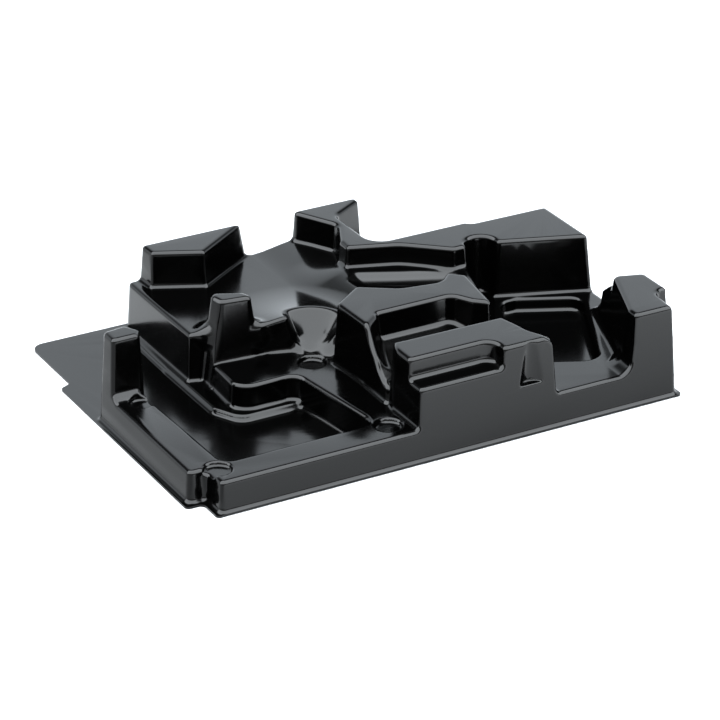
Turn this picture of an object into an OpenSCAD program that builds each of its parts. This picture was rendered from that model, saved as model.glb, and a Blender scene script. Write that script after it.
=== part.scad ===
// Tool case insert: one thin formed sheet, hollow and open underneath. Millimetres, +Z up.
// Plan positions are measured from the front left corner of the flange, then centred.

/* [Sheet] */
// thickness of the formed sheet
sheet = 1.5; // [1:0.1:2]
// sideways lean of a wall for each millimetre of its height
draft = 0.063; // [0.04:0.001:0.08]
// rounding of the raised edges
edge_round = 2.6; // [2:0.1:3.2]
// rounding where a wall meets the surface below it
foot_round = 3; // [2:0.1:4]

/* [Footprint] */
// whole length of the flange
length = 376; // [370:1:384]
// whole width of the flange
width = 282; // [279:1:290]
// corner clearance, along the length
notch_x = 12; // [10:0.5:14]
// corner clearance at the left, along the width
notch_y = 20; // [17:0.5:22]
// corner clearance at the right, along the width
right_notch_y = 26; // [23:0.5:28]
// flange left outside the front wall
front_lip = 1.6; // [1.2:0.1:3]
// flange left outside the side walls
side_lip = 3.4; // [2.4:0.1:4]

/* [Levels] */
// height of the low rim and the middle platform
rim_top = 23.2; // [20:0.2:26]
// height of the floor in the front opening and round the right pocket
sill_top = 24.6; // [23.6:0.2:27]
// height of the saddle between the back blocks
saddle_top = 40; // [36:0.5:44]
// height of the shelf between the centre block and the front block
shelf_top = 47; // [44:0.5:50]
// height of the channel in front of the long back wall
channel_top = 51; // [48:0.5:54]
// height of the towers and blocks
block_top = 66.5; // [62:0.5:70]

/* [Details] */
// radius of the round dimples
dimple_radius = 9.4; // [8:0.2:10]
// depth of the round dimples
dimple_depth = 3; // [2:0.2:4]
// depth of the right pocket below its sill
pocket_depth = 10; // [8:0.5:14]
// height of the trough floor in the front block
trough_floor = 52; // [48:0.5:56]
// back line of the trough in the front block, from the front of the flange
trough_depth = 21.5; // [19:0.5:23]
// rounding of the front opening, where its floor turns up
opening_round = 9; // [6:0.5:11]
// radius of the upright groove in the long back wall
groove_radius = 11.5; // [9:0.5:13]
// radius of the finger notch in the front wall
notch_radius = 10.4; // [9:0.2:11.4]
// height of the ledge at the foot of the finger notch
notch_floor = 36; // [33:0.5:40]
// height at which the rib beside the middle tower starts to climb to the centre block
hump_top = 45; // [42:0.5:48]
// height of the low ledge round the front pocket
ledge_top = 5.5; // [4:0.25:7]

/* [Hidden] */
arc_steps = 3;
arc_turn = 31;
round_steps = 2;
hair = 0.08;
under = 40;
curve = 32;

// Sides of the footprint, and the lines the outer walls stand on at the base.
right = length;
back = width;
step_y = width - 70;
step_x = 8.5;
front = front_lip;
left_wall = side_lip;
right_wall = right - side_lip + 1;
wall_notch_x = notch_x + side_lip;
wall_notch_y = notch_y + side_lip;
right_wall_notch_x = right - notch_x - side_lip;

// Clear width of the front pocket, and where the middle wall and the centre wall stand.
rim_width = 25;
middle_wall = 76;
centre_wall = 160;

function unit(v) = v / norm(v);
function turned(v, a) = [v.x * cos(a) - v.y * sin(a), v.x * sin(a) + v.y * cos(a)];

// One rounded corner, moved outward by "grow". Corners are [x, y, radius], listed anticlockwise.
// Its arc has "arcs" segments, or with 0 as many as its turn asks for.
function corner(before, at, after, grow, arcs) =
    let (
        u = unit([at.x - before.x, at.y - before.y]),
        v = unit([after.x - at.x, after.y - at.y]),
        turn = atan2(u.x * v.y - u.y * v.x, u * v),
        side = turn < 0 ? -1 : 1,
        radius = max(0.4, at.z + side * grow),
        out_u = [u.y, -u.x],
        out_v = [v.y, -v.x],
        tip = [at.x, at.y] + grow * (out_u + out_v) / (1 + out_u * out_v),
        centre = tip - u * radius * tan(abs(turn) / 2) - out_u * radius * side
    )
    let (count = arcs > 0 ? arcs : max(1, ceil(abs(turn) / arc_turn)))
    [for (i = [0 : count]) centre + side * radius * turned(out_u, turn * i / count)];

function outline(corners, grow, arcs) =
    let (last = len(corners) - 1)
    [for (i = [0 : last])
        each corner(corners[i == 0 ? last : i - 1], corners[i], corners[i == last ? 0 : i + 1], grow, arcs)];

// The same corners with their roundings changed by "more".
function eased(corners, more) = [for (c = corners) c + [0, 0, more]];

// A solid through one outline at several heights. Each step is [height, grow].
module loft(corners, steps, arcs = 0) {
    rings([for (s = steps) [s[0], outline(corners, s[1], arcs)]]);
}

// A solid through rings of points. Each level is [height, points].
module rings(levels) {
    count = len(levels[0][1]);
    last = len(levels) - 1;
    polyhedron(
        points = [for (l = levels) each [for (p = l[1]) [p.x, p.y, l[0]]]],
        faces = concat(
            [[for (i = [0 : count - 1]) i]],
            [for (k = [0 : last - 1]) for (i = [0 : count - 1])
                let (j = (i + 1) % count)
                each [
                    [k * count + i, (k + 1) * count + i, (k + 1) * count + j],
                    [k * count + i, (k + 1) * count + j, k * count + j]
                ]],
            [[for (i = [count - 1 : -1 : 0]) last * count + i]]
        )
    );
}

// A raised block. The corners give its outline at the base, drawn as if its walls ran down to it.
// Without "skin" it is the outside; with it, the hollow below. "shy" sets it in by a hair,
// so that blocks which share a wall don't share a face.
module raised(corners, top, foot, skin, lean = draft, soft = foot_round, shy = 0) {
    if (skin > 0) {
        loft(corners, [[-under, under * lean - skin - shy], [top - skin, (skin - top) * lean - skin - shy]]);
    } else {
        low = sheet / 2;
        loft(corners, concat(
            foot > sheet || soft == 0 ? [[low, -low * lean - shy]] : [],
            soft == 0 ? [] : concat(
                foot > sheet ? [[foot - low, (low - foot) * lean - shy]] : [],
                [[foot - low, soft - foot * lean - shy]],
                [for (i = [0 : round_steps])
                    let (a = 90 * i / round_steps, z = foot + soft * (1 - cos(a)))
                    [z, soft * (1 - sin(a)) - z * lean - shy]]
            ),
            [for (i = [0 : round_steps])
                let (a = 90 * i / round_steps, z = top - edge_round * (1 - sin(a)))
                [z, -edge_round * (1 - cos(a)) - z * lean - shy]]
        ));
    }
}

// A sunk pocket. The corners give its opening at "top".
// Without "skin" it is the space; with it, the space and the sheet round it.
module sunk(corners, top, floor, skin, lean = draft) {
    low = floor - skin;
    soft = foot_round * (skin > 0 ? 0.4 : 1);
    loft(corners, concat(
        [for (i = [0 : round_steps])
            let (a = 90 * i / round_steps, z = low + soft * (1 - cos(a)))
            [z, skin - (top - z) * lean - soft * (1 - sin(a))]],
        skin > 0 ? [[top + 30, skin + 30 * lean]] : [
            [top - edge_round, skin - edge_round * lean],
            [top - edge_round * 0.35, skin + edge_round * 0.25],
            [top + 0.02, skin + edge_round * 0.9],
            [top + 30, skin + edge_round]
        ]
    ));
}

// A raised block that goes up through a lower level, with a rounded foot there. The foot stays on its base.
module standing(corners, top, level, skin, base = envelope_corners, lean = draft, soft = foot_round, shy = 0) {
    raised(corners, top, sheet, skin, lean, 0, shy);
    if (skin == 0)
        intersection() {
            raised(eased(corners, 3 * hair), level + soft + edge_round + 1, level, 0, lean, soft, shy + 2 * hair);
            column(base, level + 30, shy + 3 * hair);
        }
}

// The plain drafted column over an outline, up to "top".
module column(corners, top, inset) {
    loft(eased(corners, 7 * hair), [[-1, draft - inset], [top, -top * draft - inset]]);
}

// A raised block whose outline changes with height: one list of corners for each of the heights.
module shaped(sections, heights, skin, soft = foot_round, shy = 0) {
    foot = heights[0];
    top = heights[len(heights) - 1];
    function at_height(z) =
        let (
            k = max([for (i = [0 : len(heights) - 2]) if (i == 0 || z >= heights[i]) i]),
            t = (z - heights[k]) / (heights[k + 1] - heights[k])
        )
        [for (i = [0 : len(sections[k]) - 1]) sections[k][i] + (sections[k + 1][i] - sections[k][i]) * t];
    inner = [for (i = [1 : 1 : len(heights) - 2]) [heights[i], -shy]];
    steps = skin > 0 ? concat(
        [[-under, (foot + under) * draft - skin], [foot, -skin]], [for (p = inner) p - [skin, skin]], [[top - skin, -skin]]
    ) : concat(
        soft == 0 ? [[sheet / 2, (foot - sheet / 2) * draft], [foot, 0]] : [[foot - sheet / 2, soft]],
        soft == 0 ? [] : [for (i = [0 : round_steps])
            let (a = 90 * i / round_steps)
            [foot + soft * (1 - cos(a)), soft * (1 - sin(a)) - hair / 2 - shy]],
        inner,
        [for (i = [0 : round_steps])
            let (a = 90 * i / round_steps)
            [top - edge_round * (1 - sin(a)), -edge_round * (1 - cos(a)) - shy]]
    );
    rings([for (s = steps) [s[0], outline(eased(at_height(max(foot, s[0])), 2 * shy), s[1], arc_steps)]]);
}

// The same block with its top tilted: "rise" is the climb along x and y, from the point "at".
module tilted(at, rise) {
    multmatrix([[1, 0, 0, 0], [0, 1, 0, 0], [rise.x, rise.y, 1, -at * rise]]) children();
}

// The outline of the flange, with its corner clearances and stepped sides.
flange_corners = [
    [0, notch_y, 3], [notch_x, notch_y, 4], [notch_x, 0, 3],
    [right - notch_x, 0, 3], [right - notch_x, right_notch_y, 3], [right, right_notch_y, 2],
    [right, step_y, 3], [right - step_x, step_y + 4, 3], [right - step_x, back, 9],
    [step_x, back, 9], [step_x, step_y + 4, 3], [0, step_y, 3]
];

// The outer walls as one drafted form, which trims every block that reaches them.
envelope_corners = [
    [left_wall, wall_notch_y, 5], [wall_notch_x, wall_notch_y, 3], [wall_notch_x, front, 4],
    [right_wall_notch_x, front, 4], [right_wall_notch_x + 2, right_notch_y + 1, 4],
    [right_wall, right_notch_y + 3, 4], [right_wall, step_y, 6], [268, step_y, 8],
    [268, back - 10, 6], [middle_wall - 1, back - 10, 7], [middle_wall - 5, 200, 10], [40, 170, 6], [left_wall, 164, 6]
];

module envelope(skin) {
    high = block_top + 1;
    loft(eased(envelope_corners, -4 * hair), skin > 0 ? [[-under, under * draft + hair - skin], [high, hair - high * draft - skin]] : [
        [0, 1.2], [sheet, 1.2], [sheet + 0.9, hair - sheet * draft], [high, hair - high * draft]
    ]);
}

// Low rim: left bar, front bar and the middle platform with its strip.
rim_corners = [
    [left_wall, wall_notch_y, 5], [wall_notch_x, wall_notch_y, 3], [wall_notch_x, front, 4],
    [200, front, 3], [200, 40, 3], [centre_wall, 150, 3],
    [86, 156, 3], [85, 114, 8], [128.5, 114, 8], [139, 38, 5], [138, 29, 4],
    [left_wall + rim_width + 2, 29, 7], [left_wall + rim_width - 3, 128, 4],
    [left_wall + rim_width + 2, 150, 5], [27, 161, 5], [left_wall, 160, 5]
];

// Right platform with the sill of the front opening.
sill_corners = [
    [180, front, 3], [right_wall_notch_x, front, 4], [right_wall_notch_x + 2, right_notch_y + 1, 4],
    [right_wall, right_notch_y + 3, 4], [right_wall, 192, 6], [250, 192, 6], [200, 120, 6]
];

ledge_corners = [
    [72.5, 262, 3], [73.5, 128, 9], [84, 107.5, 12], [133, 107.5, 6], [150, 130, 3], [120, 200, 3], [90, 262, 3]
];

saddle_corners = [
    [middle_wall, 271, 7], [middle_wall + 0.5, 170, 6], [89, 153, 4], [122, 150, 6],
    [150, 143, 8], [centre_wall + 6, 130, 4], [240, 180, 8], [240, 271, 6]
];

corner_tower = [
    [left_wall, 136, 3], [29, 136.2, 3], [34.8, 147, 3], [26.5, 161, 4], [left_wall, 158, 4]
];
left_block = [[86.2, 250, 4], [123, 232.2, 4], [180, back - 10.7, 4], [85, back - 10.7, 4]];
tower_lean = 0.12;
middle_tower = [[88.5, 174, 4], [89, 152, 3], [128.5, 147, 4], [125, 165, 5], [99, 181, 5]];
long_wall = [
    [208.5, 192, 6], [245, 178.5, 25], [274.5, 152.5, 7], [296, 153, 6], [371.5, 125, 4],
    [371.8, 191.5, 5], [311, 192.5, 4], [307, 196.5, 4], [236, 196.5, 10], [235.7, 244, 5], [262.5, 260, 4],
    [262.5, back - 10.4, 4], [204.5, back - 10.4, 4], [204.8, 263, 4], [221, 232, 6], [209.5, 208, 6]
];
centre_block = [
    [160, 77.5, 3], [177, 89, 4], [234.5, 89, 5], [242, 76, 4], [253.5, 65.5, 4], [259.5, 72, 4],
    [266.5, 118, 4], [252, 131, 4], [240, 119.5, 8], [214, 124, 12], [187, 142, 6], [158.5, 121, 5]
];
front_block = [
    [159.8, front, 4], [267.5, front, 5], [268, 15, 5], [258.5, 25, 6], [252, 52, 5], [165, 53.5, 4], [159.2, 43, 5]
];
// The front block above its trough: the trough is open to the front and to the left.
trough_line = trough_depth - block_top * draft;
front_block_upper = [
    [159.6, trough_line, 3], [222, trough_line, 10], [222.6, front, 4], [267.5, front, 4.4], [268, 15, 4.4],
    [258.5, 25, 6.8], [252, 52, 4.4], [165, 53.5, 3.4], [159.2, 43, 4.4]
];
// The floor of the front opening, which turns up in a wide curve at both ends.
opening_corners = [[262, front, 2], [331, front, 2], [336, 33, 2], [264, 33, 2]];

// Right tower: its back slopes down to the right platform.
knee = 45;
function tower_edge(z) = let (d = z * draft + 3 * hair)
    [[323.9 + d, front + d, 4], [right_wall_notch_x - d, front + d, 4],
    [right_wall_notch_x + 2 - d, right_notch_y + 1 + d, 4], [right_wall - d, right_notch_y + 3 + d, 4]];
right_tower = [
    concat(tower_edge(sill_top), [[right_wall - 1.8, 96.5, 5], [357, 101.5, 5], [325.5, 18, 5]]),
    concat(tower_edge(knee), [[right_wall - 3.5, 83, 5], [354.5, 89, 5], [327, 17, 5]]),
    concat(tower_edge(block_top), [[right_wall - 4.6, 59.5, 5], [348.6, 66.3, 5], [328.2, 15.5, 5]])
];
channel_corners = [
    [206, 110, 6], [270, 90, 6], [291, 160, 6], [296, 172, 6], [218, 197, 6]
];
// The climb from the saddle to the channel, and the hump beside the middle tower.
climb_corners = [[176, 125, 5], [226, 110, 5], [226, 190, 5], [216, 205, 5], [190, 205, 5]];
hump_corners = [
    [118, 150, 5], [150, 143, 8], [centre_wall + 3, 128, 4], [centre_wall + 6, 120, 4], [192, 138, 6], [166, 160, 9], [146, 170, 12], [118, 165, 5]
];
// The shelf between the front block and the centre block, and the sloping tip of the centre block.
shelf_corners = [
    [centre_wall, 46, 4], [256, 40, 4], [266, 95, 4], [240, 110, 5], [170, 110, 5], [centre_wall, 90, 4]
];
tip_foot = 37;
tip_low = [[162.4, 56, 3], [172, 62, 6], [181, 88, 5], [181, 100, 4], [162.4, 100, 3]];
tip_high = [[164.3, 80, 3], [168, 82.5, 6], [178, 90, 5], [178, 100, 4], [164.3, 100, 3]];
pocket_corners = [
    [270, 56, 9], [318.5, 32.5, 12], [360.5, 122, 10], [318, 142, 9], [305, 142, 9]
];

// Centres of the round dimples.
dimples = [[23, 24.3, 0], [147.5, 126, 0], [147.5, 21, 0]];
tower_dimple = [21.3, 135.5, 0];

// Scoop beside the middle dimple: its floor climbs from the platform side to the saddle.
scoop_corners = [[140, 128, 3], [157.5, 119.5, 1], [163, 127, 2], [164, 148, 10], [158, 162, 10], [143, 162, 10]];
scoop_floor = 27.5;

// A tapered pin, used for the dimples and the upright groove.
module pin(radius, low, high, skin, lean = draft) {
    hull() {
        translate([0, 0, low - skin]) cylinder(r = radius + skin - (high - low) * lean - 1, h = 0.1, $fn = curve);
        translate([0, 0, low - skin + 1]) cylinder(r = radius + skin - (high - low) * lean, h = 0.1, $fn = curve);
        translate([0, 0, high]) cylinder(r = radius + skin, h = 0.1, $fn = curve);
    }
}

// Everything raised above the flange.
module blocks(skin) {
    raised(rim_corners, rim_top, sheet, skin);
    raised(sill_corners, sill_top, sheet, skin, shy = hair);
    raised(ledge_corners, ledge_top, sheet, skin);
    raised(saddle_corners, saddle_top, sheet, skin);
    standing(corner_tower, block_top, rim_top, skin, rim_corners, shy = hair);
    standing(left_block, block_top, saddle_top, skin);
    standing(middle_tower, block_top, rim_top, skin, lean = tower_lean);
    standing(long_wall, block_top, sill_top, skin, sill_corners);
    standing(centre_block, block_top, rim_top, skin);
    standing(front_block, trough_floor, rim_top, skin, shy = 2 * hair);
    standing(front_block_upper, block_top, trough_floor, skin, shy = 3 * hair);
    raised(channel_corners, channel_top, sheet, skin, soft = 0);
    tilted([181, 0], [(channel_top - saddle_top) / 30, 0]) raised(climb_corners, saddle_top, sheet, skin, soft = 0);
    tilted([129, 152], [0.35, -0.1]) raised(hump_corners, hump_top, sheet, skin, soft = 0);
    tilted([0, 91], [0, 0.28]) raised(shelf_corners, shelf_top, sheet, skin, soft = 0);
    shaped([tip_low, tip_high], [tip_foot, block_top], skin, 0);
    shaped(right_tower, [sill_top, knee, block_top], skin, 0);
    if (skin == 0) {
        intersection() {
            shaped(right_tower, [sill_top, knee, block_top - hair], skin, foot_round, 2 * hair);
            column(sill_corners, block_top, 4 * hair);
        }
        intersection() {
            union() {
                shaped(right_tower, [sill_top, knee, block_top - 2 * hair], skin, opening_round, 4 * hair);
                raised(eased(front_block, 5 * hair), sill_top + opening_round + edge_round + 1, sill_top, 0, draft, opening_round, 5 * hair);
            }
            column(opening_corners, block_top, 6 * hair);
        }
    }
}

// Everything sunk into the blocks.
module pockets(skin) {
    sunk(pocket_corners, sill_top, sill_top - pocket_depth, skin);
    for (d = dimples)
        translate(d) pin(dimple_radius, rim_top - dimple_depth, rim_top + 1, skin);
    difference() {
        translate(tower_dimple) pin(dimple_radius, rim_top - dimple_depth, rim_top + 1, skin);
        raised(corner_tower, block_top, rim_top - dimple_depth, skin);
    }
    translate([298, 156.5, 0]) pin(groove_radius, sill_top, block_top + 1, skin);
    translate([245, front + notch_floor * draft + 3.5 - notch_radius, 0])
        pin(notch_radius, notch_floor, block_top + 1, skin, 0.01);
    intersection() {
        tilted([151.6, 144], [1.3, 0.95]) sunk(scoop_corners, 58, scoop_floor, skin);
        translate([100, 90, scoop_floor - skin]) cube([100, 100, block_top]);
    }
}

module insert() {
    color([0.03, 0.03, 0.035])
    translate([-length / 2, -width / 2, 0])
    difference() {
        union() {
            loft(flange_corners, [[0, 0], [sheet, 0]]);
            difference() {
                intersection() {
                    envelope(0);
                    blocks(0);
                }
                pockets(0);
            }
        }
        difference() {
            intersection() {
                envelope(sheet);
                blocks(sheet);
            }
            pockets(sheet);
        }
    }
}

insert();
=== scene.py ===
# Tool case insert: one black formed sheet on a pale floor. Metres, +Z up.
import math
import bpy
import numpy as np
from mathutils import Matrix


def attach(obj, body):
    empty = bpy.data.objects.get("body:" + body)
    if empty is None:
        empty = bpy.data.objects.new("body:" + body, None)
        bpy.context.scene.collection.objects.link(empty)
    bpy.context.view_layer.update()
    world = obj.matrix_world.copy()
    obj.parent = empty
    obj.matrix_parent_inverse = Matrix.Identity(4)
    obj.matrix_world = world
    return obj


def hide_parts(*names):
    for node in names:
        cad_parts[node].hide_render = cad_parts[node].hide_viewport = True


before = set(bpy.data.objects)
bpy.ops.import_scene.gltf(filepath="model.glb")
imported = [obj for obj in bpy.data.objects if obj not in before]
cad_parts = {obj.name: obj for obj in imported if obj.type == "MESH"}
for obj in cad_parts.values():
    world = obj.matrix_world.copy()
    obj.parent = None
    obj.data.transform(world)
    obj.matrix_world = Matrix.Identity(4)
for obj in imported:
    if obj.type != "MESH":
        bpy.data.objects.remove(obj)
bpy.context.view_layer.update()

# millimetres; a lean or slope is the change in millimetres for each millimetre of height or way
insertForm = {
    "length": 376.0,
    "width": 282.0,
    "sheet": 1.5,
    "lean": 0.063,              # of a wall without a lean of its own
    "edge": 2.6,                # rounding of raised edges
    "foot": 3.0,                # rounding at the foot of a wall
    "lowFoot": 1.0,             # the same for the ledge and the sill
    "blockTop": 66.5,
    "ledgeTop": 5.5,
    "ledgeEdge": 1.6,
    "rimTop": 23.2,
    "dimpleAt": [(23.5, 21.5), (147.5, 126), (147.5, 21)],
    "dimpleRadius": 9.4,
    "cornerDimpleAt": (21.5, 128.5),
    "cornerDimpleRadius": 8.4,
    "dimpleDepth": 3.0,
    "dimpleFoot": 1.2,
    "dimpleEdge": 1.0,
    "sillTop": 24.6,
    "pocketFloor": 14.6,
    "saddleTop": 40.0,
    "channelTop": 51.0,
    "climbX": (174, 214),       # from the saddle up to the channel
    "climbLoss": 0.55,          # share of the climb that is lost farther back
    "climbLossY": (190, 235),
    "lensDepth": 5.5,           # shallow hollow in the channel
    "lensLean": 2.0,
    "lensEdge": 1.2,
    "crestAt": (152.7, 137.6),  # middle of the scoop; the mound's crest is a ring round it
    "crestRadius": 24.2,
    "crestTop": 47.0,
    "moundSlope": 0.3,
    "moundFoot": 8.0,
    "scoopSlope": 1.42,
    "scoopWallLean": 0.15,
    "scoopOpening": 50.0,
    "scoopFoot": 6.0,
    "scoopEdge": 3.0,
    "shelfTop": 47.0,           # at shelfBack, and lower in front of it
    "shelfBack": 91.0,
    "shelfRise": 0.28,
    "troughFloor": 52.0,
    "tipStart": 37.0,           # height where the tip of the centre block begins to draw back
    "tipFoot": 3.0,
    "grooveAt": (298, 156.5),
    "grooveRadius": 11.5,
    "grooveSunk": 6.0,          # below the sill
    "grooveFoot": 1.0,
    "cornerTowerLean": 0.04,
    "cornerTowerFoot": 2.0,
    "rightTowerBend": 45.0,     # height of the tower's middle outline
    "notchX": 246.0,
    "notchFloor": 36.0,
    "notchRadius": 10.4,        # at the floor
    "notchNarrowing": 2.5,      # from the floor to the top
    "notchLean": -0.082,
    "notchDepth": 5.0,
    "notchFoot": 0.8,
    "notchEdge": 0.7,
    # roundings that grow: the extra radius, then from and to for each measure that leads it
    "growths": {
        "scoopSide": (7, (0, -6), (142, 148)),          # distance beyond the crest, X
        "frontEdge": (5.9, (251, 258)),                 # X
        "centreFoot": (3, (44, 49), (112, 118)),        # Z, Y
        "middleTowerFoot": (7, (0, 1), (28, 34)),       # the larger of the next two, Z
        "middleTowerRight": (1, (112, 122)),            # X
        "middleTowerBack": (1, (155, 161)),             # Y
        "cornerTowerFoot": (6, (141, 138), (27, 23)),   # Y, X
        "rightTowerFoot": (6, (34, 26)),                # Y
    },
    "gridStep": 1.0,
    "underStep": 2.0,
    "outerTriangles": 150000,
    "underTriangles": 40000,
}
form = insertForm
lean, edge, foot, blockTop = form["lean"], form["edge"], form["foot"], form["blockTop"]

# Outlines as [x, y, radius], anticlockwise from the front left corner of the flange. Sides that
# reach the outer walls run on past them, because the envelope trims them.
flangeCorners = [
    [0, 20, 3], [12, 20, 4], [12, 0, 3], [364, 0, 3], [364, 26, 3], [376, 26, 2], [376, 212, 3],
    [367.5, 216, 3], [367.5, 282, 9], [8.5, 282, 9], [8.5, 216, 3], [0, 212, 3],
]
frontY = 1.6
envelopeCorners = [
    [3.4, 23.4, 5], [15.4, 23.4, 3], [15.4, frontY, 4], [360.6, frontY, 4], [362.6, 27, 4],
    [373.6, 29, 4], [373.6, 212, 6], [268, 212, 8], [268, 272, 6], [75, 272, 7], [71, 200, 10],
    [40, 170, 6], [3.4, 164, 6],
]
rimCorners = [
    [-12, -12, 1], [200, -12, 1], [200, 40, 3], [170, 150, 3], [86, 156, 3], [84, 113, 14],
    [128.5, 114, 8], [139, 38, 5], [138, 29, 4], [32, 29, 7], [29.4, 128, 4], [31, 152, 3],
    [-12, 152, 1],
]
sillCorners = [[180, -12, 1], [390, -12, 1], [390, 185, 1], [250, 185, 6], [200, 120, 6]]
ledgeCorners = [
    [72.5, 262, 3], [73.5, 128, 9], [84, 107.5, 12], [133, 107.5, 6], [150, 130, 3],
    [120, 200, 3], [90, 262, 3],
]
highCorners = [
    [76, 290, 1], [76.5, 171, 3], [91, 166.5, 3], [100, 160, 2], [120, 153, 4], [128, 149.5, 4],
    [150, 143, 8], [166, 130, 4], [200, 105, 5], [270, 90, 6], [291, 160, 6], [296, 178, 6],
    [245, 190, 6], [245, 290, 1],
]
leftBlock = [[86.2, 250, 4], [123, 232.2, 4], [207.3, 290, 1], [83.9, 290, 1]]
middleTower = [
    [[84, 180, 5], [84.5, 152, 4], [128.5, 148.5, 4], [124, 168, 5], [97, 185, 5]],
    [[94.3, 170, 4], [97, 159, 3], [119.8, 155.5, 3], [116.2, 165.7, 4], [98, 174.6, 4]],
]
longWall = [
    [208.5, 192, 6], [245, 178.5, 25], [274.5, 152.5, 7], [296, 153, 6], [390, 118.1, 1],
    [390, 191.5, 1], [311, 192.5, 4], [307, 196.5, 4], [236, 196.5, 10], [235.7, 244, 5],
    [262.5, 260, 4], [262.5, 290, 1], [204.5, 290, 1], [204.8, 263, 4], [221, 232, 6],
    [209.5, 208, 6],
]
centreBlock = [
    [145, 67.4, 1], [177, 89, 4], [234.5, 89, 5], [242, 76, 4], [253.5, 65.5, 4], [259.5, 72, 4],
    [266.5, 118, 4], [252, 131, 4], [240, 119.5, 8], [214, 124, 12], [187, 142, 6], [145, 111, 1],
]
centreFace = [
    [159.8, -20, 1], [320, -20, 1], [320, 170, 1], [157.6, 170, 1], [158.7, 115, 1],
    [160, 77.5, 1], [159.3, 43, 1],
]
centreTip = [
    [[145, 56, 1], [162.4, 56, 3], [172, 62, 6], [181, 88, 5], [181, 100, 4], [145, 100, 1]],
    [[145, 80, 1], [164.3, 80, 3], [168, 82.5, 6], [178, 90, 5], [178, 100, 4], [145, 100, 1]],
]
frontBlock = [
    [145, -12, 1], [267.3, -12, 1], [268, 15, 5], [258.5, 25, 6], [252, 52, 5], [165, 53.5, 4],
    [145, 17.3, 1],
]
troughCorners = [[130, -30, 1], [226.2, -30, 1], [226.2, 21.5, 10], [130, 21.5, 1]]
shelfCorners = [[145, 46, 1], [256, 40, 4], [266, 95, 4], [240, 110, 5], [145, 110, 1]]
cornerTower = [[-12, 138, 1], [27.5, 138.2, 3], [33.3, 147.5, 3], [25.5, 161, 4], [-12, 156, 1]]
rightTower = [
    [[322.6, -12, 1], [390, -12, 1], [390, 90.4, 1], [357, 101.5, 5], [325.5, 18, 5]],
    [[327, -12, 1], [390, -12, 1], [390, 75.3, 1], [354.5, 89, 5], [327, 17, 5]],
    [[328.3, -12, 1], [390, -12, 1], [390, 52.5, 1], [348.6, 66.3, 5], [328.2, 15.5, 5]],
]
pocketCorners = [[270, 56, 9], [318.5, 32.5, 12], [360.5, 122, 10], [318, 142, 9], [305, 142, 9]]
lensCorners = [
    [202, 180, 5], [203, 163, 5], [232, 143, 20], [262, 130, 6], [279, 148, 5], [272, 159, 5],
    [242, 172.5, 30], [213, 187, 5],
]
scoopCorners = [[142, 110, 3], [200, 110, 3], [200, 180, 3], [142, 180, 3]]

halfTurnPoints = 12
farOff = 60             # distance that stands for empty space
gridMargin = 3
nearMargin = 16
pinMargin = 8
gridStep = form["gridStep"]
cellCorners = [(a, b, c) for a in (0, 1) for b in (0, 1) for c in (0, 1)]


def axisPoints(size):
    return np.arange(-gridMargin, size + gridMargin + gridStep, gridStep, dtype=np.float32)


xs, ys, zs = axisPoints(form["length"]), axisPoints(form["width"]), axisPoints(blockTop)
everywhere = (slice(0, len(xs)), slice(0, len(ys)))
field = np.full((len(xs), len(ys), len(zs)), farOff, np.float32)


def outline(corners):
    # the rounded outline as a closed line of points
    points = []
    for i, (x, y, radius) in enumerate(corners):
        before = np.array(corners[i - 1][:2])
        after = np.array(corners[(i + 1) % len(corners)][:2])
        at = np.array([x, y], float)
        u = (at - before) / np.linalg.norm(at - before)
        v = (after - at) / np.linalg.norm(after - at)
        turn = math.atan2(u[0] * v[1] - u[1] * v[0], u @ v)
        side = -1 if turn < 0 else 1
        normal = np.array([u[1], -u[0]]) * side
        centre = at - u * radius * math.tan(abs(turn) / 2) - normal * radius
        steps = max(1, math.ceil(abs(turn) / math.pi * halfTurnPoints))
        for k in range(steps + 1):
            c, s = math.cos(turn * k / steps), math.sin(turn * k / steps)
            spoke = np.array([normal[0] * c - normal[1] * s, normal[0] * s + normal[1] * c])
            points.append(centre + radius * spoke)
    return np.array(points)


def between(low, high, margin):
    # the part of the grid from one corner to another, with a margin
    i0, i1 = np.searchsorted(xs, [low[0] - margin, high[0] + margin])
    j0, j1 = np.searchsorted(ys, [low[1] - margin, high[1] + margin])
    return slice(i0, max(i1, i0 + 2)), slice(j0, max(j1, j0 + 2))


def near(corners):
    line = outline(corners)
    return between(line.min(axis=0), line.max(axis=0), nearMargin)


def gridAt(where):
    return xs[where[0]][:, None, None], ys[where[1]][None, :, None]


def planDistance(corners, where):
    # signed level distance to the outline, negative inside, over a part of the grid
    line = outline(corners)
    gx, gy = np.meshgrid(xs[where[0]], ys[where[1]], indexing="ij")
    best = np.full(gx.shape, 1e9, np.float32)
    inside = np.zeros(gx.shape, bool)
    for (ax, ay), (bx, by) in zip(line, np.roll(line, -1, axis=0)):
        ex, ey = bx - ax, by - ay
        if ex * ex + ey * ey < 1e-9:
            continue
        t = np.clip(((gx - ax) * ex + (gy - ay) * ey) / (ex * ex + ey * ey), 0, 1)
        best = np.minimum(best, (gx - ax - t * ex) ** 2 + (gy - ay - t * ey) ** 2)
        if abs(ey) > 1e-9:
            inside ^= ((ay > gy) != (by > gy)) & (gx < ax + (gy - ay) * ex / ey)
    return (np.where(inside, -1, 1) * np.sqrt(best)).astype(np.float32)


def roundMax(a, b, r):
    return np.minimum(-r, np.maximum(a, b)) + np.hypot(np.maximum(a + r, 0), np.maximum(b + r, 0))


def roundMin(a, b, r):
    return np.maximum(r, np.minimum(a, b)) - np.hypot(np.maximum(r - a, 0), np.maximum(r - b, 0))


def ramp(at, low, high):
    # 0 at low, 1 at high
    return np.clip((at - low) / (high - low), 0, 1)


def eased(at, low, high):
    # the same with soft ends
    t = ramp(at, low, high)
    return t * t * (3 - 2 * t)


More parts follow.
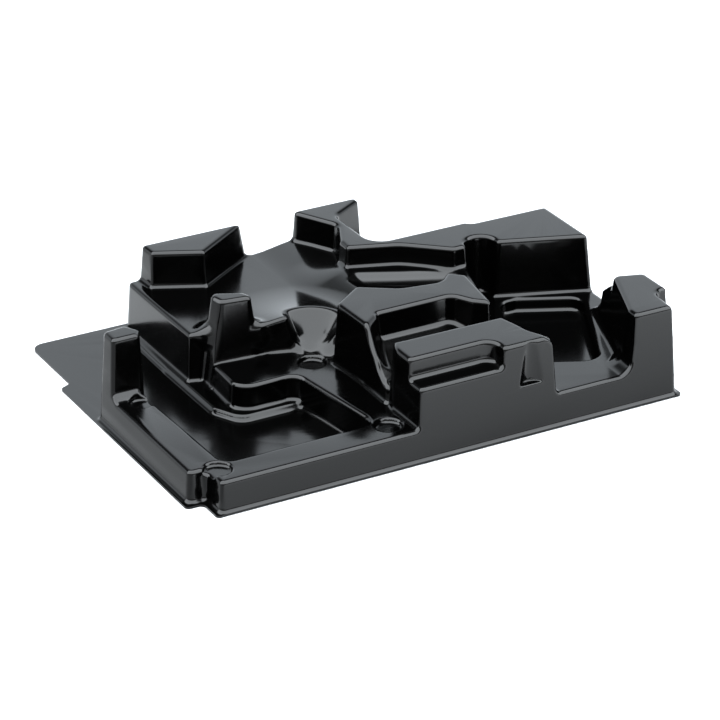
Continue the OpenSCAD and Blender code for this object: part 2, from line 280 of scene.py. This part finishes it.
def grown(radius, name, *measures):
    # the radius with one of the growths added
    extra, *stretches = form["growths"][name]
    for measure, (low, high) in zip(measures, stretches):
        extra = extra * ramp(measure, low, high)
    return radius + extra


def sloped(distance, way, slope):
    # distance to a level or upright face after it has been tilted by the slope
    return (distance + slope * way) / math.hypot(1, slope)


def walls(corners, where, sideLean=lean, opening=None):
    # leaning walls; with an opening the outline is a pocket's, drawn at that height
    plan = planDistance(corners, where)[:, :, None]
    return sloped(plan, zs if opening is None else opening - zs, sideLean)


def shapedWalls(sections, heights, where):
    # walls of a block whose outline changes with height
    plans = [planDistance(corners, where) for corners in sections]
    result = np.empty(plans[0].shape + (len(zs),), np.float32)
    for k, z in enumerate(zs):
        i = min(max(int(np.searchsorted(heights, z)) - 1, 0), len(heights) - 2)
        slope = (plans[i + 1] - plans[i]) / (heights[i + 1] - heights[i])
        if z < heights[0]:
            slope = np.full_like(slope, lean)
        result[:, :, k] = (plans[i] + slope * (z - heights[i])) / np.sqrt(1 + slope ** 2)
    return result


def topPlane(where, height, rise=0, atY=0):
    # distance above a top that is level, or rises along Y and has its height at one Y
    return sloped(zs - height, gridAt(where)[1] - atY, -rise)


def block(corners, sideLean=lean, top=blockTop, edge=edge, where=None):
    where = where or near(corners)
    return where, roundMax(walls(corners, where, sideLean), topPlane(where, top), edge)


def shapedBlock(sections, lower):
    # lower holds the heights of all outlines but the last, which is at the top
    where = near(sections[0])
    part = shapedWalls(sections, [*lower, blockTop], where)
    return where, roundMax(part, topPlane(where, blockTop), edge)


def pocket(corners, opening, floor, where, sideLean=lean):
    return roundMax(walls(corners, where, sideLean, opening), floor - zs, foot)


def pin(at, radius, opening, floor, foot, sideLean=lean, where=None):
    # a round pocket
    where = where or between(np.subtract(at, radius), np.add(at, radius), pinMargin)
    gx, gy = gridAt(where)
    plan = np.hypot(gx - at[0], gy - at[1]) - radius
    return where, roundMax(sloped(plan, opening - zs, sideLean), floor - zs, foot)


def join(where, part, radius):
    field[where] = roundMin(field[where], part, radius)


def cut(where, part, radius):
    field[where] = roundMax(field[where], -part, radius)


def dimple(at, radius):
    floor = form["rimTop"] - form["dimpleDepth"]
    cut(*pin(at, radius, form["rimTop"], floor, form["dimpleFoot"]), form["dimpleEdge"])


join(*block(ledgeCorners, top=form["ledgeTop"], edge=form["ledgeEdge"]), form["lowFoot"])
join(*block(rimCorners, top=form["rimTop"]), foot)
for at in form["dimpleAt"]:
    dimple(at, form["dimpleRadius"])
join(*block(sillCorners, top=form["sillTop"]), form["lowFoot"])
where = near(pocketCorners)
cut(where, pocket(pocketCorners, form["sillTop"], form["pocketFloor"], where), edge)

# high ground: saddle, the climb to the channel and the mound with its scoop, inside one wall
where = near(highCorners)
gx, gy = gridAt(where)
climb = (form["channelTop"] - form["saddleTop"]) * eased(gx, *form["climbX"])
ground = form["saddleTop"] + climb * (1 - form["climbLoss"] * eased(gy, *form["climbLossY"]))
steepness = np.sqrt(1 + sum(g ** 2 for g in np.gradient(ground[:, :, 0], gridStep)))
high = (zs - ground) / steepness[:, :, None]
beyond = np.hypot(gx - form["crestAt"][0], gy - form["crestAt"][1]) - form["crestRadius"]
mound = sloped(zs - form["crestTop"], beyond, form["moundSlope"])
high = roundMin(high, mound, form["moundFoot"])
high = roundMax(high, walls(highCorners, where), edge)
scoop = walls(scoopCorners, where, form["scoopWallLean"], form["scoopOpening"])
scoopFace = sloped(zs - form["crestTop"], beyond, -form["scoopSlope"])
scoop = roundMax(scoop, -scoopFace, form["scoopFoot"])
high = roundMax(high, -scoop, form["scoopEdge"])
lensFloor = form["channelTop"] - form["lensDepth"]
lens = pocket(lensCorners, form["channelTop"], lensFloor, where, form["lensLean"])
high = roundMax(high, -lens, form["lensEdge"])
join(where, high, grown(foot, "scoopSide", beyond, gx))

# front block, shelf and centre block behind one left face
where = near(centreFace)
gx, gy = gridAt(where)
front = block(frontBlock, edge=grown(edge, "frontEdge", gx), where=where)[1]
trough = pocket(troughCorners, blockTop, form["troughFloor"], where)
front = roundMax(front, -trough, edge)
shelfPlane = topPlane(where, form["shelfTop"], form["shelfRise"], form["shelfBack"])
shelf = roundMax(walls(shelfCorners, where), shelfPlane, edge)
tip = shapedWalls(centreTip, [form["tipStart"], blockTop], where)
centre = roundMin(walls(centreBlock, where), tip, form["tipFoot"])
centre = roundMax(centre, topPlane(where, blockTop), edge)
group = roundMin(roundMin(front, shelf, foot), centre, foot)
group = roundMax(group, walls(centreFace, where), edge)
join(where, group, grown(foot, "centreFoot", zs, gy))

join(*block(leftBlock), foot)
where, part = shapedBlock(middleTower, [0])
gx, gy = gridAt(where)
share = np.maximum(grown(0, "middleTowerRight", gx), grown(0, "middleTowerBack", gy))
join(where, part, grown(foot, "middleTowerFoot", share, zs))
where, part = block(longWall)
grooveFloor = form["sillTop"] - form["grooveSunk"]
groove = pin(form["grooveAt"], form["grooveRadius"], blockTop, grooveFloor, form["grooveFoot"],
             where=where)[1]
join(where, roundMax(part, -groove, edge), foot)
where, part = block(cornerTower, form["cornerTowerLean"])
gx, gy = gridAt(where)
join(where, part, grown(form["cornerTowerFoot"], "cornerTowerFoot", gy, gx))
dimple(form["cornerDimpleAt"], form["cornerDimpleRadius"])
where, part = shapedBlock(rightTower, [form["sillTop"], form["rightTowerBend"]])
join(where, part, grown(foot, "rightTowerFoot", gridAt(where)[1]))

# the outer walls trim everything, then the finger notch and the flange
field[:] = roundMax(field, walls(envelopeCorners, everywhere), edge)
notchBack = frontY + form["notchFloor"] * lean + form["notchDepth"]
cut(*pin((form["notchX"], notchBack - form["notchRadius"]),
         form["notchRadius"] - form["notchNarrowing"], blockTop, form["notchFloor"],
         form["notchFoot"], form["notchLean"]), form["notchEdge"])
field[:] = roundMin(field, topPlane(everywhere, form["sheet"]), foot)
print("field ready", field.shape)


def netSurface(values, axes):
    # a closed quad surface where the values cross zero, one vertex a cell
    neg = values < 0
    cells = tuple(n - 1 for n in values.shape)
    total = np.zeros(cells, np.int8)
    for a, b, c in cellCorners:
        total += neg[a:cells[0] + a, b:cells[1] + b, c:cells[2] + c]
    index = np.argwhere((total > 0) & (total < len(cellCorners)))
    number = np.full(cells, -1, np.int32)
    number[tuple(index.T)] = np.arange(len(index))
    sums = np.zeros((len(index), 3))
    count = np.zeros(len(index))
    for axis in range(3):
        others = [a for a in range(3) if a != axis]
        for b, c in [(0, 0), (0, 1), (1, 0), (1, 1)]:
            start = index.copy()
            start[:, others[0]] += b
            start[:, others[1]] += c
            end = start.copy()
            end[:, axis] += 1
            v0, v1 = values[tuple(start.T)], values[tuple(end.T)]
            hit = (v0 < 0) != (v1 < 0)
            point = start[hit].astype(float)
            point[:, axis] += v0[hit] / (v0[hit] - v1[hit])
            sums[hit] += point
            count[hit] += 1
    quads = []
    for axis in range(3):
        b, c = [(1, 2), (2, 0), (0, 1)][axis]
        lower, upper = [slice(None)] * 3, [slice(None)] * 3
        lower[axis], upper[axis] = slice(0, -1), slice(1, None)
        at = np.argwhere(neg[tuple(lower)] != neg[tuple(upper)])
        at = at[(at[:, b] > 0) & (at[:, c] > 0) & (at[:, b] < cells[b]) & (at[:, c] < cells[c])]
        ring = []
        for db, dc in [(-1, -1), (0, -1), (0, 0), (-1, 0)]:
            cell = at.copy()
            cell[:, b] += db
            cell[:, c] += dc
            ring.append(number[tuple(cell.T)])
        quad = np.stack(ring, axis=1)
        turned = ~neg[tuple(at.T)]
        quad[turned] = quad[turned][:, ::-1]
        quads.append(quad)
    origin = np.array([marks[0] for marks in axes])
    size = np.array([marks[1] - marks[0] for marks in axes])
    return sums / count[:, None] * size + origin, np.concatenate(quads)


def placed(name, data):
    obj = bpy.data.objects.new(name, data)
    bpy.context.scene.collection.objects.link(obj)
    return obj


def netObject(name, points, faces):
    mesh = bpy.data.meshes.new(name)
    mesh.vertices.add(len(points))
    mesh.vertices.foreach_set("co", np.asarray(points, np.float32).ravel())
    mesh.loops.add(faces.size)
    mesh.loops.foreach_set("vertex_index", faces.ravel().astype(np.int32))
    mesh.polygons.add(len(faces))
    starts = np.arange(0, faces.size, faces.shape[1], dtype=np.int32)
    mesh.polygons.foreach_set("loop_start", starts)
    mesh.update(calc_edges=True)
    mesh.validate()
    return placed(name, mesh)


def polygonObject(name, points, faces):
    mesh = bpy.data.meshes.new(name)
    mesh.from_pydata(points, [], faces)
    return placed(name, mesh)


def prism(name, line, low, high):
    n = len(line)
    points = [(x, y, z) for z in (low, high) for x, y in line]
    faces = [tuple(range(n))[::-1], tuple(range(n, 2 * n))]
    faces += [(i, (i + 1) % n, n + (i + 1) % n, n + i) for i in range(n)]
    return polygonObject(name, points, faces)


def applied(obj):
    # the object's mesh with its modifiers made real
    graph = bpy.context.evaluated_depsgraph_get()
    mesh = bpy.data.meshes.new_from_object(obj.evaluated_get(graph))
    obj.modifiers.clear()
    obj.data = mesh
    return obj


def thinned(obj, triangles):
    have = sum(len(p.vertices) - 2 for p in obj.data.polygons)
    if have > triangles:
        fewer = obj.modifiers.new("fewer", "DECIMATE")
        fewer.ratio = triangles / have
        applied(obj)
    return obj


def booleaned(obj, other, operation):
    cutter = obj.modifiers.new("cutter", "BOOLEAN")
    cutter.operation, cutter.object, cutter.solver = operation, other, "MANIFOLD"
    applied(obj)
    bpy.data.objects.remove(other)
    return obj


def surface(name, values, axes, bottom, triangles):
    # the field's surface, cut off level at the bottom and closed at the sides of the grid
    values = np.maximum(values, bottom - axes[2])
    values[[0, -1], :, :] = farOff
    values[:, [0, -1], :] = farOff
    return thinned(netObject(name, *netSurface(values, axes)), triangles)


# the outer surface inside the flange's outline, less the same surface one sheet deeper; each of
# the three bottoms is a little lower than the one before, so that no two faces meet
outerBottom, underBottom, plateBottom = -1.3, -2.2, -2.6
every = max(1, round(form["underStep"] / gridStep))
underAxes = [marks[::every] for marks in (xs, ys, zs)]
deeper = field[::every, ::every, ::every] + form["sheet"]
insert = surface("insert", field, (xs, ys, zs), outerBottom, form["outerTriangles"])
under = surface("under", deeper, underAxes, underBottom, form["underTriangles"])
line = outline(flangeCorners)
line = line[[i for i in range(len(line)) if np.linalg.norm(line[i] - line[i - 1]) > 1e-4]]
booleaned(insert, prism("plate", line, plateBottom, blockTop + gridMargin), "INTERSECT")
booleaned(insert, under, "DIFFERENCE")
insert.modifiers.new("triangles", "TRIANGULATE")
applied(insert)
print("insert", len(insert.data.polygons))


def slopesAt(points):
    # the field's direction at each point, from the eight grid points round it
    gradient = np.stack(np.gradient(field, gridStep), axis=-1)
    place = (points - [xs[0], ys[0], zs[0]]) / gridStep
    cell = np.clip(np.floor(place).astype(int), 0, np.array(field.shape) - 2)
    part = np.clip(place - cell, 0, 1)
    slope = np.zeros_like(points)
    for a, b, c in cellCorners:
        weight = np.abs(1 - a - part[:, 0]) * np.abs(1 - b - part[:, 1])
        weight = weight * np.abs(1 - c - part[:, 2])
        slope += weight[:, None] * gradient[cell[:, 0] + a, cell[:, 1] + b, cell[:, 2] + c]
    return slope / np.maximum(np.linalg.norm(slope, axis=1), 1e-6)[:, None]


def finishMesh(mesh, leastAgreement=0.75):
    # each corner takes the field's direction, or on a cut edge, where the two part, its face's
    points = np.empty(len(mesh.vertices) * 3)
    mesh.vertices.foreach_get("co", points)
    points = points.reshape(-1, 3)
    corners = np.empty(len(mesh.loops), np.int32)
    mesh.loops.foreach_get("vertex_index", corners)
    tri = corners.reshape(-1, 3)
    flat = np.cross(points[tri[:, 1]] - points[tri[:, 0]], points[tri[:, 2]] - points[tri[:, 0]])
    flat /= np.maximum(np.linalg.norm(flat, axis=1), 1e-9)[:, None]
    flat = np.repeat(flat, 3, axis=0)
    normals = slopesAt(points)[corners]
    agree = (normals * flat).sum(axis=1)
    normals[agree < 0] *= -1
    normals = np.where((np.abs(agree) > leastAgreement)[:, None], normals, flat)
    # from the grid's millimetres to metres from the middle
    points = (points - [form["length"] / 2, form["width"] / 2, 0]) / 1000
    mesh.vertices.foreach_set("co", points.astype(np.float32).ravel())
    mesh.polygons.foreach_set("use_smooth", np.ones(len(mesh.polygons), bool))
    mesh.update()
    mesh.normals_split_custom_set(normals.tolist())


finishMesh(insert.data)


def fill(tree, node, inputs):
    # sets inputs by name or number, each to a fixed value or to the output that feeds it
    for key, value in inputs.items():
        if isinstance(value, bpy.types.NodeSocket):
            tree.links.new(value, node.inputs[key])
        else:
            node.inputs[key].default_value = value
    return node


def add(tree, kind, inputs=None):
    return fill(tree, tree.nodes.new(kind), inputs or {})


def maths(tree, operation, first, second):
    node = tree.nodes.new("ShaderNodeMath")
    node.operation = operation
    return fill(tree, node, {0: first, 1: second}).outputs[0]


def newMaterial(name):
    material = bpy.data.materials.new(name)
    material.use_nodes = True
    return material, material.node_tree, material.node_tree.nodes["Principled BSDF"]


insertLook = {
    "color": (0.0002, 0.0002, 0.0002, 1),
    "roughness": 0.14,
    "roughnessSpread": 0.05,
    "roughnessScale": 30,
    "ior": 1.34,
    "specular": 0.5,
    "specularInReflections": 0.03,
    "rippleHeight": 0.00004,   # metres
    "rippleScale": 9.0,
}


def sheetMaterial(look):
    material, tree, shader = newMaterial("formedSheet")
    ray = add(tree, "ShaderNodeLightPath").outputs["Is Glossy Ray"]
    strength = add(tree, "ShaderNodeMapRange", {
        "Value": ray, "To Min": look["specular"], "To Max": look["specularInReflections"],
    })
    where = add(tree, "ShaderNodeTexCoord").outputs["Object"]
    cloud = add(tree, "ShaderNodeTexNoise", {
        "Vector": where, "Scale": look["roughnessScale"], "Detail": 3,
    })
    spread = add(tree, "ShaderNodeMapRange", {
        "Value": cloud.outputs["Fac"],
        "To Min": look["roughness"] - look["roughnessSpread"] / 2,
        "To Max": look["roughness"] + look["roughnessSpread"] / 2,
    })
    ripple = add(tree, "ShaderNodeTexNoise", {
        "Vector": where, "Scale": look["rippleScale"], "Detail": 2,
    })
    bump = add(tree, "ShaderNodeBump", {
        "Height": ripple.outputs["Fac"], "Distance": look["rippleHeight"], "Strength": 1,
    })
    fill(tree, shader, {
        "Base Color": look["color"],
        "IOR": look["ior"],
        "Specular IOR Level": strength.outputs["Result"],
        "Roughness": spread.outputs["Result"],
        "Normal": bump.outputs["Normal"],
    })
    return material


insert.data.materials.clear()
insert.data.materials.append(sheetMaterial(insertLook))
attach(insert, "root")
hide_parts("insert")
print("insert in place")


stageLook = {
    "floorColor": (0.4, 0.4, 0.4, 1),
    # painted shade: the floor as the object reflects it is darker near the object and to its
    # left, where its shadow falls, and brighter far in front: axis, metres from and to, colour
    "floorReflectedShade": [
        ("Y", -0.17, -0.4, (0.72, 0.72, 0.72, 1)), ("X", -0.17, -0.2, (0.2, 0.2, 0.2, 1)),
    ],
    "floorSize": 6.0,
    "floorHeight": -0.0002,
    "floorRoughness": 0.9,
    "towards": (0.483, 0.875),           # level direction from the camera to the object
    # light by degrees over the object, from the horizon behind it (0) to the one in front (180)
    "sky": [
        (0, (1.62, 1.75, 1.86)), (37, (1.62, 1.75, 1.86)), (42, (0.03, 0.03, 0.03)),
        (57, (0.03, 0.03, 0.03)), (65, (7.6, 8.0, 8.3)), (150, (7.6, 8.0, 8.3)),
        (158, (0.5, 0.5, 0.5)), (180, (0.5, 0.5, 0.5)),
    ],
    "skyPeak": 8.5,                      # light where the ramp is white
}


def floorMaterial(look):
    # its own colour for the camera; where the object reflects it, painted shade darkens it near
    # and to the left of the object
    material, tree, shader = newMaterial("floor")
    where = add(tree, "ShaderNodeNewGeometry").outputs["Position"]
    split = add(tree, "ShaderNodeSeparateXYZ", {"Vector": where})
    ray = add(tree, "ShaderNodeLightPath").outputs["Is Glossy Ray"]
    # a mix node's colour sockets share their names with others, so they go by number
    factor, firstColor, secondColor, mixedColor = 0, 6, 7, 2
    color = look["floorColor"]
    # each step paints shade into the floor as reflected, or lifts it, along one axis
    for axis, fromAt, toAt, paintedColor in look["floorReflectedShade"]:
        fade = add(tree, "ShaderNodeMapRange", {
            "Value": split.outputs[axis], "From Min": fromAt, "From Max": toAt,
        })
        share = maths(tree, "MULTIPLY", fade.outputs["Result"], ray)
        mix = tree.nodes.new("ShaderNodeMix")
        mix.data_type = "RGBA"
        fill(tree, mix, {factor: share, firstColor: color, secondColor: paintedColor})
        color = mix.outputs[mixedColor]
    fill(tree, shader, {
        "Base Color": color, "Roughness": look["floorRoughness"], "Specular IOR Level": 0.0,
    })
    return material


half = stageLook["floorSize"] / 2
floorPoints = [(-half, -half, 0), (half, -half, 0), (half, half, 0), (-half, half, 0)]
floor = polygonObject("floor", floorPoints, [(0, 1, 2, 3)])
floor.location = (0, 0, stageLook["floorHeight"])
floor.data.materials.append(floorMaterial(stageLook))


def skyWorld(look):
    # the camera sees white; the light is pale low down behind the object, with a dark gap above
    # it, then a broad bright top and little in front
    world = bpy.data.worlds.new("studio")
    world.use_nodes = True
    tree = world.node_tree
    tree.nodes.clear()
    where = add(tree, "ShaderNodeTexCoord").outputs["Generated"]
    split = add(tree, "ShaderNodeSeparateXYZ", {"Vector": where}).outputs
    along = maths(tree, "ADD", maths(tree, "MULTIPLY", split["X"], look["towards"][0]),
                  maths(tree, "MULTIPLY", split["Y"], look["towards"][1]))
    up = maths(tree, "MAXIMUM", split["Z"], 0.0001)
    turned = maths(tree, "ARCTAN2", up, along)
    colors = add(tree, "ShaderNodeValToRGB", {"Fac": maths(tree, "DIVIDE", turned, math.pi)})
    elements = colors.color_ramp.elements
    while len(elements) < len(look["sky"]):
        elements.new(0.5)
    for element, (degrees, color) in zip(elements, look["sky"]):
        element.position = degrees / 180
        element.color = (*[value / look["skyPeak"] for value in color], 1)
    light = add(tree, "ShaderNodeBackground", {
        "Color": colors.outputs["Color"], "Strength": look["skyPeak"],
    })
    white = add(tree, "ShaderNodeBackground", {"Color": (1, 1, 1, 1)})
    seen = add(tree, "ShaderNodeLightPath").outputs["Is Camera Ray"]
    mix = add(tree, "ShaderNodeMixShader", {
        "Fac": seen, 1: light.outputs[0], 2: white.outputs[0],
    })
    add(tree, "ShaderNodeOutputWorld", {"Surface": mix.outputs[0]})
    return world


scene = bpy.context.scene
scene.world = skyWorld(stageLook)
scene.view_settings.view_transform = "Standard"

# the camera solved from the photograph
cameraLook = {
    "lens": 168.825,
    "sensor": 36,
    "clip": (0.05, 30),
    "location": (-0.99892615, -1.81765646, 1.03925015),
    "turn": (
        (0.8749654, 0.2168592, -0.4329060),
        (-0.4841823, 0.3887065, -0.7838844),
        (-0.0017192, 0.8954772, 0.4451041),
    ),
}
camera = bpy.data.cameras.new("camera")
camera.sensor_width = cameraLook["sensor"]
camera.lens = cameraLook["lens"]
camera.clip_start, camera.clip_end = cameraLook["clip"]
cameraObject = placed("camera", camera)
turn = Matrix(cameraLook["turn"]).to_4x4()
cameraObject.matrix_world = Matrix.Translation(cameraLook["location"]) @ turn
scene.camera = cameraObject
print("stage ready")
